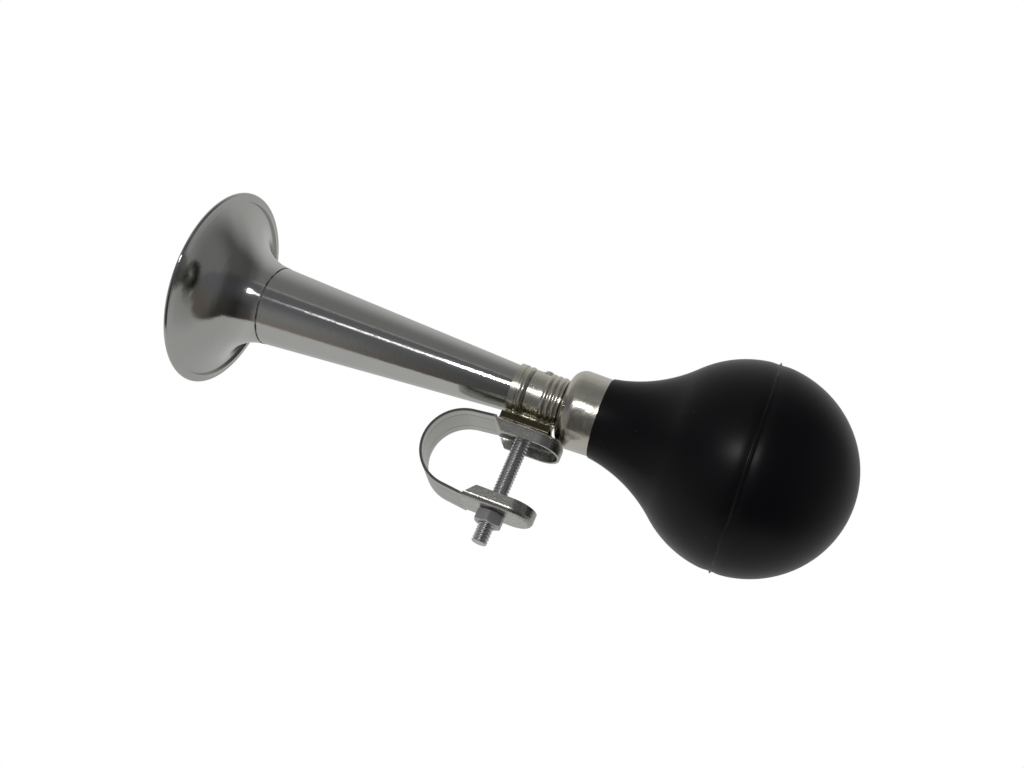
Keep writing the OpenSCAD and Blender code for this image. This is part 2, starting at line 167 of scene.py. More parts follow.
class HornThreadSettings(PropertyGroup):
    """Sizes of the threads and the nut"""

    bolt_r: length("Bolt radius", "Radius over the crests of the bolt's thread", 2.45 * MM)
    pitch: length("Bolt pitch", "Distance between two turns of the bolt's thread", 1.06 * MM)
    depth: length("Bolt thread depth", "Depth of the bolt's thread", 0.26 * MM)
    neck_pitch: length("Neck pitch", "Distance between two turns of the neck's thread", 1.25 * MM)
    neck_depth: length("Neck thread depth", "Depth of the neck's thread", 0.5 * MM)
    nut_turn: FloatProperty(
        name="Nut turn",
        description="How far the nut is turned",
        default=math.radians(-26.8),
        subtype="ANGLE",
    )
    across_flats: length("Nut across flats", "Width of the nut from flat to flat", 8.0 * MM)
    rings: IntProperty(name="Rings a turn", description="Rings of points for one turn", default=12)


class HornReedSettings(PropertyGroup):
    """Sizes of the reed's tongue"""

    thickness: length("Tongue thickness", "Thickness of the brass leaf", 0.3 * MM)
    curl_r: length("Curl radius", "Radius of the curl that holds the leaf's tip off the trough", 150 * MM)
    lift: FloatProperty(
        name="Lift",
        description="Angle at which the leaf leaves the trough",
        default=math.radians(2.5),
        subtype="ANGLE",
    )
    held: length("Held length", "Length of the flat root that the wedge holds", 4.91 * MM)


class HornPlatingSettings(PropertyGroup):
    """Colours of the finishes"""

    chrome: tint("Chrome", "Colour of the bell and tube", (0.585, 0.590, 0.562))
    nickel: tint("Nickel", "Colour of the band and ferrule", (0.640, 0.620, 0.540))
    strap: tint("Strap", "Colour of the clamp's strap", (0.555, 0.552, 0.520))
    zinc: tint("Zinc", "Colour of the bolt and nut", (0.700, 0.705, 0.710))
    brass: tint("Brass", "Colour of the sleeve, insert and reed", (0.720, 0.520, 0.240))
    rubber: tint("Rubber", "Colour of the bulb", (0.0008, 0.0009, 0.0016))


class HornStageSettings(PropertyGroup):
    """The floor, the camera and the lamps"""

    floor_drop: length("Floor drop", "Height of the floor below the handlebar's axis", 0.5)
    floor_tint: tint("Floor colour", "Colour of the floor", (0.86, 0.86, 0.86))
    camera_place: FloatVectorProperty(
        name="Camera place",
        description="Where the camera stands",
        default=(0.07592, -0.29715, -0.09635),
        size=3,
        subtype="TRANSLATION",
        unit="LENGTH",
    )
    lens: plain("Lens", "Focal length in millimetres on a 36 mm sensor", 36.76)
    lamp_power: plain("Lamp power", "Power of the compact lamp in watts", 0.55)
    strip_power: plain("Strip power", "Power of the long strip lamp in watts", 0.035)
    end_power: plain("Strip's end power", "Power of the strip's weaker end in watts", 0.0015)


# Shader nodes


def feed(tree, socket, value):
    """Joins an input to another node's output, or sets it to a plain value."""
    if isinstance(value, bpy.types.NodeSocket):
        tree.links.new(value, socket)
    else:
        socket.default_value = value


def add_node(tree, kind, props=(), **inputs):
    """Adds a shader node, sets its properties and feeds its named inputs."""
    made = tree.nodes.new(kind)
    for key, value in dict(props).items():
        setattr(made, key, value)
    for key, value in inputs.items():
        feed(tree, made.inputs[key.replace("_", " ")], value)
    return made


def calc(tree, operation, *values):
    """A sum in the shader tree, of sockets or numbers."""
    made = tree.nodes.new("ShaderNodeMath")
    made.operation = operation
    for socket, value in zip(made.inputs, values):
        feed(tree, socket, value)
    return made.outputs["Value"]


def spread(tree, value, low, high, out_low=0.0, out_high=1.0):
    """Maps a value smoothly from one range to another, and holds it there."""
    made = add_node(
        tree,
        "ShaderNodeMapRange",
        {"interpolation_type": "SMOOTHSTEP"},
        Value=value,
        From_Min=low,
        From_Max=high,
        To_Min=out_low,
        To_Max=out_high,
    )
    return made.outputs["Result"]


def clouds(tree, vector, scale, detail=2.0, rough=0.5):
    """Noise between 0 and 1 at so many cells a metre."""
    made = add_node(
        tree, "ShaderNodeTexNoise", Vector=vector, Scale=scale, Detail=detail, Roughness=rough
    )
    return made.outputs["Fac"]


def joined(tree, x, y, z):
    """A vector from three values."""
    made = tree.nodes.new("ShaderNodeCombineXYZ")
    for socket, value in zip(made.inputs, (x, y, z)):
        feed(tree, socket, value)
    return made.outputs["Vector"]


def parts_and_radius(tree, place):
    """The three parts of a position, and its distance from the x axis."""
    parts = add_node(tree, "ShaderNodeSeparateXYZ", Vector=place).outputs
    flat = tree.nodes.new("ShaderNodeVectorMath")
    flat.operation = "LENGTH"
    feed(tree, flat.inputs[0], joined(tree, 0.0, parts["Y"], parts["Z"]))
    return parts, flat.outputs["Value"]


def scaled(tree, colour, gain):
    """A colour times a number."""
    made = tree.nodes.new("ShaderNodeVectorMath")
    made.operation = "SCALE"
    feed(tree, made.inputs[0], colour)
    feed(tree, made.inputs["Scale"], gain)
    return made.outputs["Vector"]


def mixed(tree, share, first, second, blend="MIX"):
    """A blend of two colours."""
    made = tree.nodes.new("ShaderNodeMix")
    made.data_type = "RGBA"
    made.blend_type = blend
    feed(tree, made.inputs["Factor"], share)
    feed(tree, made.inputs[6], first)
    feed(tree, made.inputs[7], second)
    return made.outputs[2]


def new_group(name, inputs, outputs):
    """Makes a shader node group with named sockets, and returns it with its inputs and output node."""
    tree = bpy.data.node_groups.new(name, "ShaderNodeTree")
    kinds = {"v": "NodeSocketVector", "c": "NodeSocketColor", "f": "NodeSocketFloat"}
    for socket, kind in inputs:
        tree.interface.new_socket(socket, in_out="INPUT", socket_type=kinds[kind])
    for socket, kind in outputs:
        tree.interface.new_socket(socket, in_out="OUTPUT", socket_type=kinds[kind])
    return tree, tree.nodes.new("NodeGroupInput").outputs, tree.nodes.new("NodeGroupOutput").inputs


def plating_group():
    """Buffed plating: a slow mottle, orange peel, lines round the x axis and small pits."""
    tree, given, put = new_group(
        "buffed plating",
        [
            ("Position", "v"),
            ("Tint", "c"),
            ("Roughness", "f"),
            ("Mottle", "f"),
            ("Peel", "f"),
            ("Lines", "f"),
            ("Pits", "f"),
            ("Dents", "f"),
        ],
        [("Color", "c"), ("Roughness", "f"), ("Height", "f")],
    )
    place = given["Position"]
    parts, radius = parts_and_radius(tree, place)
    wrapped = joined(
        tree,
        calc(tree, "MULTIPLY", parts["X"], LINE_CELLS),
        calc(tree, "MULTIPLY", radius, LINE_CELLS),
        calc(tree, "MULTIPLY", calc(tree, "ARCTAN2", parts["Z"], parts["Y"]), 0.8),
    )
    slow = calc(tree, "SUBTRACT", clouds(tree, place, MOTTLE_CELLS, 3.0, 0.55), 0.5)
    peel = calc(tree, "SUBTRACT", clouds(tree, place, PEEL_CELLS, 2.0, 0.6), 0.5)
    lines = calc(tree, "SUBTRACT", clouds(tree, wrapped, 1.0, 2.0, 0.65), 0.5)
    dents = calc(tree, "SUBTRACT", clouds(tree, place, DENT_CELLS, 1.0), 0.5)
    cells = add_node(tree, "ShaderNodeTexVoronoi", Vector=place, Scale=PIT_CELLS).outputs["Distance"]
    patch = spread(tree, clouds(tree, place, PATCH_CELLS, 2.0), 0.52, 0.68)
    pits = calc(tree, "MULTIPLY", spread(tree, cells, 0.12, 0.30, 1.0, 0.0), patch)
    pits = calc(tree, "MULTIPLY", pits, given["Pits"])
    cloudy = calc(tree, "MULTIPLY", slow, given["Mottle"])
    ringed = calc(tree, "MULTIPLY", lines, given["Lines"])
    gain = calc(tree, "SUBTRACT", calc(tree, "ADD", cloudy, 1.0), pits)
    feed(tree, put["Color"], scaled(tree, given["Tint"], gain))
    uneven = calc(tree, "ADD", calc(tree, "ADD", cloudy, ringed), 1.0)
    feed(tree, put["Roughness"], calc(tree, "MULTIPLY_ADD", uneven, given["Roughness"], pits))
    bumps = calc(tree, "ADD", calc(tree, "MULTIPLY", peel, given["Peel"]), ringed)
    bumps = calc(tree, "MULTIPLY_ADD", dents, given["Dents"], bumps)
    feed(tree, put["Height"], calc(tree, "SUBTRACT", bumps, pits))
    return tree


def dirt_and_shade_group():
    """A dark line round the x axis at one place, broken and uneven: old flux at a soldered seam, and
    painted shade where it lies in a narrow gap.
    """
    tree, given, put = new_group(
        "dirt and shade line", [("Position", "v"), ("Along", "f"), ("Width", "f")], [("Mask", "f"), ("Specks", "f")]
    )
    place = given["Position"]
    parts = add_node(tree, "ShaderNodeSeparateXYZ", Vector=place).outputs
    waver = calc(tree, "MULTIPLY_ADD", clouds(tree, place, WAVER_CELLS), 0.0006, -0.0003)
    wavering = calc(tree, "ADD", parts["X"], waver)
    off = calc(tree, "ABSOLUTE", calc(tree, "SUBTRACT", wavering, given["Along"]))
    share = calc(tree, "DIVIDE", off, given["Width"])
    core = spread(tree, share, 0.4, 1.0, 1.0, 0.0)
    uneven = spread(tree, clouds(tree, place, BREAK_CELLS, 3.0), 0.3, 0.6, 0.45, 1.0)
    feed(tree, put["Mask"], calc(tree, "MULTIPLY", core, uneven))
    near = spread(tree, share, 3.0, 22.0, 1.0, 0.0)
    dots = spread(tree, clouds(tree, place, SPECK_CELLS, 2.0, 0.7), 0.60, 0.70)
    feed(tree, put["Specks"], calc(tree, "MULTIPLY", near, dots))
    return tree


def group_node(tree, name, build, **inputs):
    """Places a shared node group in a material, built on its first use, with its own values."""
    made = tree.nodes.new("ShaderNodeGroup")
    made.node_tree = bpy.data.node_groups.get(name) or build()
    for key, value in inputs.items():
        feed(tree, made.inputs[key], value)
    return made.outputs


def new_material(name, metallic):
    """A material with its tree, its shader and the position on the horn, centred on the horn's axis."""
    material = bpy.data.materials.new(name)
    material.use_nodes = True
    tree = material.node_tree
    shader = tree.nodes["Principled BSDF"]
    shader.inputs["Metallic"].default_value = metallic
    spot = add_node(tree, "ShaderNodeTexCoord").outputs["Object"]
    centred = add_node(tree, "ShaderNodeMapping", Vector=spot)
    centred.inputs["Location"].default_value = (0, 0, -HORN_Z)
    return material, tree, shader.inputs, centred.outputs["Vector"]


def dirt_and_shade_line(along, width):
    """A broken dark line round the horn, with specks beside it."""

    def add(tree, place, surface):
        line = group_node(tree, "dirt and shade line", dirt_and_shade_group, Position=place, Along=along, Width=width)
        surface["Color"] = mixed(tree, line["Mask"], surface["Color"], DIRT_AND_SHADE)
        surface["Roughness"] = calc(tree, "MULTIPLY_ADD", line["Mask"], 0.35, surface["Roughness"])
        surface["Height"] = calc(tree, "MULTIPLY_ADD", line["Specks"], -1.5, surface["Height"])

    return add


def shade_below(top, depth, share, colour):
    """Painted shade: darkens all that lies below a height towards a colour."""

    def add(tree, place, surface):
        level = add_node(tree, "ShaderNodeSeparateXYZ", Vector=place).outputs["Z"]
        shade_share = spread(tree, level, top - depth, top, share, 0.0)
        surface["Color"] = mixed(tree, shade_share, surface["Color"], colour)

    return add


def strap_shade_and_grain(half, ear_x):
    """Painted shade on the strap's loop, in dark lines along its edges and on two faint creases and a
    little darker between the creases, and coarser metal on its ears.
    """

    def add(tree, place, surface):
        parts = add_node(tree, "ShaderNodeSeparateXYZ", Vector=place).outputs
        across = calc(tree, "ABSOLUTE", parts["Y"])
        loop = spread(tree, parts["X"], ear_x - 1 * MM, ear_x, 1.0, 0.0)
        ear = calc(tree, "SUBTRACT", 1.0, loop)
        # Painted shade: a dark line along each edge of the loop
        edge = spread(tree, across, half - 0.28 * MM, half - 0.16 * MM, 0.0, 0.75)
        edge = calc(tree, "MULTIPLY", edge, calc(tree, "MULTIPLY_ADD", loop, 0.75, 0.25))
        # Painted shade: two faint dark creases, and the middle between them a little darker
        crease_y = half - 3.3 * MM
        off = calc(tree, "ABSOLUTE", calc(tree, "SUBTRACT", across, crease_y))
        crease = calc(tree, "MULTIPLY", spread(tree, off, 0.12 * MM, 0.45 * MM, 0.45, 0.0), loop)
        inner = spread(tree, across, crease_y - 0.3 * MM, crease_y + 0.1 * MM, 0.10, 0.0)
        shade = calc(tree, "MAXIMUM", crease, calc(tree, "MULTIPLY", inner, loop))
        shade = calc(tree, "MAXIMUM", shade, edge)
        grain = calc(tree, "SUBTRACT", clouds(tree, place, EAR_CELLS, 3.0, 0.7), 0.5)
        gain = calc(tree, "MULTIPLY_ADD", calc(tree, "MULTIPLY", grain, ear), 1.4, 1.0)
        tone = scaled(tree, surface["Color"], gain)
        surface["Color"] = mixed(tree, shade, tone, STRAP_SHADE)
        coarse = calc(tree, "MULTIPLY", grain, calc(tree, "MULTIPLY", ear, 2.5))
        surface["Height"] = calc(tree, "ADD", surface["Height"], coarse)

    return add


def outer_radius(node, x):
    """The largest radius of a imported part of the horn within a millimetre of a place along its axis."""
    reach = [0.0]
    for vertex in NODES[node].data.vertices:
        spot = NODES[node].matrix_world @ vertex.co
        if abs(spot.x - x) < MM:
            reach.append(math.hypot(spot.y, spot.z - HORN_Z))
    return max(reach)


def unpolished_bore(low, high, low_r, high_r):
    """Dull grey metal inside the tube, which is polished on its outside alone."""

    def add(tree, place, surface):
        parts, radius = parts_and_radius(tree, place)
        slope = (high_r - low_r) / (high - low)
        skin = calc(tree, "MULTIPLY_ADD", parts["X"], slope, low_r - slope * low)
        under = calc(tree, "SUBTRACT", skin, radius)
        inside = spread(tree, under, 0.15 * MM, 0.30 * MM)
        inside = calc(tree, "MULTIPLY", inside, spread(tree, parts["X"], low, low + 0.3 * MM))
        surface["Color"] = mixed(tree, inside, surface["Color"], BARE_BORE)
        surface["Roughness"] = calc(tree, "MULTIPLY_ADD", inside, 0.35, surface["Roughness"])
        surface["Metallic"] = calc(tree, "MULTIPLY_ADD", inside, -0.85, 1.0)

    return add


def plated(name, colour, roughness, bump, wear_and_shade=(), **effects):
    """A plated metal with shares of each shared effect, and its own wear and painted shade on top."""
    material, tree, shader, place = new_material(name, 1.0)
    start = {"Position": place, "Tint": (*colour, 1), "Roughness": roughness}
    look = group_node(tree, "buffed plating", plating_group, **start, **effects)
    surface = {key: look[key] for key in ("Color", "Roughness", "Height")}
    surface["Metallic"] = 1.0
    for mark in wear_and_shade:
        mark(tree, place, surface)
    feed(tree, shader["Base Color"], surface["Color"])
    feed(tree, shader["Roughness"], surface["Roughness"])
    feed(tree, shader["Metallic"], surface["Metallic"])
    relief = add_node(tree, "ShaderNodeBump", Strength=bump, Distance=0.00002, Height=surface["Height"])
    feed(tree, shader["Normal"], relief.outputs["Normal"])
    return material


def moulded_rubber(name, colour, roughness):
    """Black moulded rubber: a soft bloom, fine grain, a few pale specks of dust, and a painted sheen where
    it is seen at a grazing angle.
    """
    material, tree, shader, place = new_material(name, 0.0)
    shader["Specular IOR Level"].default_value = 0.22
    bloom = clouds(tree, place, BLOOM_CELLS, 3.0)
    grain = clouds(tree, place, GRAIN_CELLS, 2.0)
    cells = add_node(tree, "ShaderNodeTexVoronoi", Vector=place, Scale=DUST_CELLS).outputs
    tone = mixed(tree, bloom, (*colour, 1), (*[1.8 * part for part in colour], 1))
    chance = add_node(tree, "ShaderNodeSeparateColor", Color=cells["Color"]).outputs[0]
    rare = spread(tree, chance, 0.965, 0.97)
    speck = calc(tree, "MULTIPLY", spread(tree, cells["Distance"], 0.08, 0.16, 1.0, 0.0), rare)
    speckled = mixed(tree, speck, tone, DUST)
    # Painted sheen: the base colour turns pale grey where the rubber is seen at a grazing angle, standing
    # in for a bright rim reflection
    grazing = calc(tree, "POWER", add_node(tree, "ShaderNodeLayerWeight").outputs["Facing"], 7.5)
    rim_sheen = calc(tree, "MULTIPLY", grazing, 0.9)
    feed(tree, shader["Base Color"], mixed(tree, rim_sheen, speckled, RUBBER_RIM_SHEEN))
    feed(tree, shader["Roughness"], spread(tree, bloom, 0.2, 0.8, roughness - 0.04, roughness + 0.05))
    high = calc(tree, "ADD", calc(tree, "MULTIPLY", grain, 0.4), speck)
    relief = add_node(tree, "ShaderNodeBump", Strength=0.22, Distance=0.00003, Height=high)
    feed(tree, shader["Normal"], relief.outputs["Normal"])
    return material


def finish(name):
    """A finish by its name, or an error if the plating step has not made it yet."""
    if name not in bpy.data.materials:
        raise RuntimeError(f"the finish {name} is not made yet: run the plating step first")
    return bpy.data.materials[name]


def dress(node, material):
    """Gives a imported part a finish, in place of the one it was packed with."""
    part = NODES[node]
    if not part.material_slots:
        part.data.materials.append(material)
    for used in part.material_slots:
        used.material = material


class HORN_OT_plating(Operator):
    """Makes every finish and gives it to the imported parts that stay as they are"""

    bl_idname = "bulb_horn.plating"
    bl_label = "Plating and rubber"

    def execute(self, context):
        look = context.scene.horn_plating
        seam = TUBE_LO.x - 0.05 * MM
        small_r = outer_radius("horn_tube", TUBE_HI.x)
        bore = unpolished_bore(TUBE_LO.x, TUBE_HI.x, TUBE_HI.z - HORN_Z, small_r)
        soldered = [dirt_and_shade_line(seam, 0.38 * MM), bore]
        buffed = {"Mottle": 0.08, "Peel": 1.4, "Lines": 0.12, "Pits": 0.06, "Dents": 0.6}
        chrome = plated("polished chrome", look.chrome, roughness=0.10, bump=0.7, wear_and_shade=soldered, **buffed)
        groove = BAND_LO.x + 5.0 * MM
        foot = BAND_LO.z - HORN_Z
        band_line_and_shade = [
            # A dark line in the band's groove
            dirt_and_shade_line(groove, 0.25 * MM),
            # Painted shade: olive-dark on the ring's underside and near black on the channel's wall
            shade_below(foot + 6.2 * MM, 2.5 * MM, 0.4, UNDERSIDE_SHADE),
            shade_below(foot + 3.2 * MM, 0.4 * MM, 0.92, CHANNEL_SHADE),
        ]
        worn = {"bump": 0.8, "Mottle": 0.6, "Peel": 1.0, "Lines": 0.4, "Pits": 0.08}
        nickel = plated("bright nickel", look.nickel, roughness=0.26, wear_and_shade=band_line_and_shade, Dents=6.0, **worn)
        capped = plated("ferrule nickel", look.nickel, roughness=0.23, Dents=9.0, **worn)
        # Painted shade on the strap's loop
        loop_shade = [strap_shade_and_grain(-STRAP_LO.y, EAR_X)]
        satin = {"Mottle": 0.2, "Peel": 1.4, "Pits": 0.06, "Dents": 1.5}
        strap = plated("satin strap plating", look.strap, roughness=0.27, bump=0.8, wear_and_shade=loop_shade, **satin)
        plated("zinc plating", look.zinc, roughness=0.30, bump=0.4, Mottle=0.3, Peel=0.3, Pits=0.04)
        dull = [0.95 * part for part in look.zinc]
        plated("dull zinc plating", dull, roughness=0.52, bump=0.6, Mottle=0.4, Peel=1.0, Pits=0.10)
        # Painted shade: a dark line on the brass in the gap just beyond the band's end
        gap_shade = [dirt_and_shade_line(BAND_HI.x + 0.3 * MM, 0.8 * MM)]
        cut = {"Mottle": 0.2, "Peel": 0.5, "Lines": 0.9, "Pits": 0.05}
        brass = plated("turned brass", look.brass, roughness=0.24, bump=0.6, wear_and_shade=gap_shade, **cut)
        moulded_rubber("moulded rubber", look.rubber, roughness=0.38)
        seal = moulded_rubber("seal rubber", look.rubber, roughness=0.6)
        for node in ("bell", "horn_tube"):
            dress(node, chrome)
        dress("neck_band", nickel)
        dress("bulb_ferrule", capped)
        dress("clamp_strap", strap)
        for node in ("reed_carrier", "reed_shallot", "reed_wedge"):
            dress(node, brass)
        dress("sealing_washer", seal)
        return {"FINISHED"}


# Turned pieces


def clear_selection():
    """Deselects every object, so that the next operator acts on the new piece alone."""
    if bpy.context.object and bpy.context.object.mode != "OBJECT":
        bpy.ops.object.mode_set(mode="OBJECT")
    bpy.ops.object.select_all(action="DESELECT")


def traced(name, points):
    """Draws a chain of edges through the points by extruding one point, and stays in edit mode."""
    clear_selection()
    bpy.ops.mesh.primitive_plane_add(size=MM, location=points[0])
    piece = bpy.context.object
    piece.name = name
    bpy.ops.object.transform_apply(location=True)
    bpy.ops.object.mode_set(mode="EDIT")
    bpy.ops.mesh.select_mode(type="VERT")
    bpy.ops.mesh.select_all(action="SELECT")
    bpy.ops.mesh.merge(type="CENTER")
    for before, after in zip(points, points[1:]):
        step = Vector(after) - Vector(before)
        bpy.ops.mesh.extrude_region_move(TRANSFORM_OT_translate={"value": step})
    return piece


def turned(name, profile, centre, axis, out, steps, closed):
    """Spins a profile of (radius, place along the axis) pairs into a closed shell."""
    centre, axis, out = Vector(centre), Vector(axis), Vector(out)
    points = [centre + along * axis + radius * out for radius, along in profile]
    if closed:
        points.append(points[0])
    piece = traced(name, points)
    bpy.ops.mesh.select_all(action="SELECT")
    bpy.ops.mesh.remove_doubles(threshold=0.0001 * MM)
    bpy.ops.mesh.spin(steps=steps, angle=math.tau, center=centre, axis=axis)
    bpy.ops.mesh.select_all(action="SELECT")
    bpy.ops.mesh.remove_doubles(threshold=0.0005 * MM)
    bpy.ops.mesh.normals_make_consistent(inside=False)
    bpy.ops.object.mode_set(mode="OBJECT")
    if len(piece.data.polygons) < steps:
        raise RuntimeError(f"{name} wasn't spun into a shell")
    return piece


def smoothed(piece, angle=SMOOTH_ANGLE):
    """Shades a piece smooth up to an angle."""
    clear_selection()
    piece.select_set(True)
    bpy.context.view_layer.objects.active = piece
    bpy.ops.object.shade_smooth_by_angle(angle=angle)
    return piece


def arc(centre, radius, start, end, count):
    """Points of an arc as (radius, place along the axis) pairs, from one angle to another in degrees."""
    angles = [math.radians(start + (end - start) * i / count) for i in range(count + 1)]
    return [(centre[0] + radius * math.cos(a), centre[1] + radius * math.sin(a)) for a in angles]


def even(start, end, step):
    """Values from a start to an end, about a step apart."""
    count = max(1, round(abs(end - start) / step))
    return [start + (end - start) * i / count for i in range(count + 1)]


def thread_cut(share):
    """How deep the thread is cut, from 0 on its crest to 1 in its root, at a share of its pitch."""
    crest, flank = 0.18, 0.60
    off = abs(2 * (share % 1) - 1)
    return min(1.0, max(0.0, (off - crest) / flank))


def cut_thread(piece, centre, axis, side, radius, span, pitch, depth):
    """Presses a screw thread into the rings of points that lie at a radius, inwards or outwards."""
    centre, axis, side = Vector(centre), Vector(axis), Vector(side)
    across = axis.cross(side)
    for vertex in piece.data.vertices:
        off = vertex.co - centre
        along = off.dot(axis)
        flat = off - along * axis
        if not span[0] <= along <= span[1] or abs(flat.length - radius) > 0.01 * MM:
            continue
        turn = math.atan2(flat.dot(across), flat.dot(side)) / math.tau
        fade = min(1.0, (along - span[0]) / (0.5 * pitch), (span[1] - along) / (0.5 * pitch))
        vertex.co -= flat.normalized() * depth * max(0.0, fade) * thread_cut(along / pitch - turn)
    return piece


class HORN_OT_bolt(Operator):
    """Turns the clamp's bolt with its thread and its oblong head"""

    bl_idname = "bulb_horn.bolt"
    bl_label = "Clamp bolt"

    def execute(self, context):
        size = context.scene.horn_thread
        tip, head = BOLT_LO.z, BOLT_HI.z
        head_height = 1.85 * MM
        under = head - head_height
        root = size.bolt_r - size.depth
        rings = even(under, tip + 0.1 * MM, size.pitch / size.rings)
        sunk = head - 0.4 * MM
        profile = [(0, sunk), (0.8 * size.bolt_r, sunk), (size.bolt_r, under + 0.05 * MM)]
        profile += [(size.bolt_r, along) for along in rings]
        profile += [(root - 0.05 * MM, tip), (0, tip)]
        shank = turned("bolt_shank", profile, *BOLT_LINE, BOLT_STEPS, False)
        cut_thread(shank, *BOLT_LINE, size.bolt_r, (tip, under), size.pitch, size.depth)
        for vertex in shank.data.vertices:
            flat = Vector((vertex.co.x - BOLT_X, vertex.co.y, 0))
            most = root + 0.02 * MM + 0.7 * (vertex.co.z - tip)
            if flat.length > most:
                vertex.co = Vector((BOLT_X, 0, vertex.co.z)) + flat.normalized() * most
        clear_selection()
        bpy.ops.mesh.primitive_cube_add(size=1, location=(BOLT_X, 0, (under + head) / 2))
        block = context.object
        block.scale = (BOLT_HI.x - BOLT_LO.x, BOLT_HI.y - BOLT_LO.y, head - under)
        bpy.ops.object.transform_apply(location=True, scale=True)
        bpy.ops.object.mode_set(mode="EDIT")
        bpy.ops.mesh.select_all(action="SELECT")
        bpy.ops.mesh.bevel(offset=0.3 * MM, segments=3, affect="EDGES")
        bpy.ops.object.mode_set(mode="OBJECT")
        shank.select_set(True)
        context.view_layer.objects.active = shank
        bpy.ops.object.join()
        shank.name = "threaded_clamp_bolt"
        shank.data.materials.append(finish("zinc plating"))
        smoothed(shank, math.radians(70))
        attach(shank, "bolt")
        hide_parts("clamp_bolt")
        return {"FINISHED"}


class HORN_OT_nut(Operator):
    """Turns the hexagonal nut, chamfers its corners and cuts its six flats and its thread"""

    bl_idname = "bulb_horn.nut"
    bl_label = "Clamp nut"

    def execute(self, context):
        size = context.scene.horn_thread
        low, high = NUT_LO.z, NUT_HI.z
        corner = size.across_flats / math.sqrt(3)
        bore = size.bolt_r + 0.05 * MM
        sink = bore + 0.35 * MM
        drop = 0.55 * MM
        span = (low + 0.35 * MM, high - 0.35 * MM)
        profile = [(sink, high), (corner - 2.0 * drop, high), (corner, high - drop), (corner, low + drop)]
        profile += [(corner - 2.0 * drop, low), (sink, low)]
        profile += [(bore, along) for along in even(*span, size.pitch / size.rings)]
        nut = turned("hexagonal_nut", profile, *BOLT_LINE, NUT_STEPS, True)
        cut_thread(nut, *BOLT_LINE, bore, span, size.pitch, -size.depth)
        bpy.ops.object.mode_set(mode="EDIT")
        fillet = 0.35 * MM
        corner_way = (size.across_flats / 2 - fillet) / math.cos(math.radians(30))
        cuts = [(30, size.across_flats / 2)]
        for lean in (-20, -10, 0, 10, 20):
            cuts.append((lean, corner_way * math.cos(math.radians(lean)) + fillet))
        for k in range(6):
            for lean, away in cuts:
                angle = size.nut_turn + math.radians(lean + 60 * k)
                facing = Vector((math.cos(angle), math.sin(angle), 0))
                flat = Vector((BOLT_X, 0, 0)) + facing * away
                bpy.ops.mesh.select_all(action="SELECT")
                bpy.ops.mesh.bisect(plane_co=flat, plane_no=facing, use_fill=True, clear_outer=True)
        bpy.ops.object.mode_set(mode="OBJECT")
        nut.data.materials.append(finish("dull zinc plating"))
        smoothed(nut, math.radians(8))
        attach(nut, "nut")
        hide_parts("clamp_nut")
        return {"FINISHED"}


class HORN_OT_neck_threads(Operator):
    """Turns the sleeve that holds the reed, and the insert that screws onto it, with their threads"""

    bl_idname = "bulb_horn.neck_threads"
    bl_label = "Neck sleeve and insert"

    def execute(self, context):
        size = context.scene.horn_thread
        step = size.neck_pitch / size.rings
        front, end, plug_x = SLEEVE_LO.x, SLEEVE_HI.x, SLEEVE_HI.x - 7.4 * MM
        collar, shoulder = TUBE_HI.x + 0.05 * MM, BAND_HI.x + 0.3 * MM
        front_r, tube_r, band_r = 7.44 * MM, 6.86 * MM, 7.22 * MM
        crest, throat, plug, rim = 6.4 * MM, 4.3 * MM, 4.9 * MM, 0.2 * MM
        profile = [(front_r, front), (tube_r, TUBE_HI.x), (tube_r, collar), (band_r, collar)]
        profile += [(band_r, shoulder - rim), (band_r - rim, shoulder)]
        span = (shoulder + 0.01 * MM, end - 0.3 * MM)
        profile += [(crest, along) for along in even(*span, step)]
        profile += [(crest - 0.35 * MM, end), (plug, end), (plug, plug_x), (throat, plug_x)]
        profile += [(throat, TUBE_HI.x), (6.84 * MM, front)]
        sleeve = turned("threaded_neck_sleeve", profile, *HORN_LINE, NECK_STEPS, True)
        cut_thread(sleeve, *HORN_LINE, crest, span, size.neck_pitch, size.neck_depth)
        flange, barb, bore, teeth = 8.6 * MM, 7.8 * MM, 6.45 * MM, 4
        low, high = INSERT_LO.x, INSERT_HI.x
        stop = end + 0.9 * MM
        neck = low + 0.8 * MM
        tooth = (high - neck) / teeth
        span = (low + 0.4 * MM, stop - 0.05 * MM)
        profile = [(flange - 0.15 * MM, low), (flange, low + 0.15 * MM), (flange, neck)]
        for k in range(teeth):
            profile += [(barb, neck + k * tooth + 0.01 * MM), (barb - 0.3 * MM, neck + (k + 1) * tooth)]
        profile += [(plug + 0.6 * MM, high), (plug + 0.6 * MM, stop), (bore, stop)]
        profile += [(bore, along) for along in even(*span[::-1], step)]
        profile += [(bore + 0.4 * MM, low)]
        insert = turned("threaded_neck_insert", profile, *HORN_LINE, NECK_STEPS, True)
        cut_thread(insert, *HORN_LINE, bore, span, size.neck_pitch, -size.neck_depth)
        for piece, node, body in ((sleeve, "neck_sleeve", "horn"), (insert, "neck_insert", "bulb_fitting")):
            piece.data.materials.append(finish("turned brass"))
            smoothed(piece)
            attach(piece, body)
            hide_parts(node)
        return {"FINISHED"}


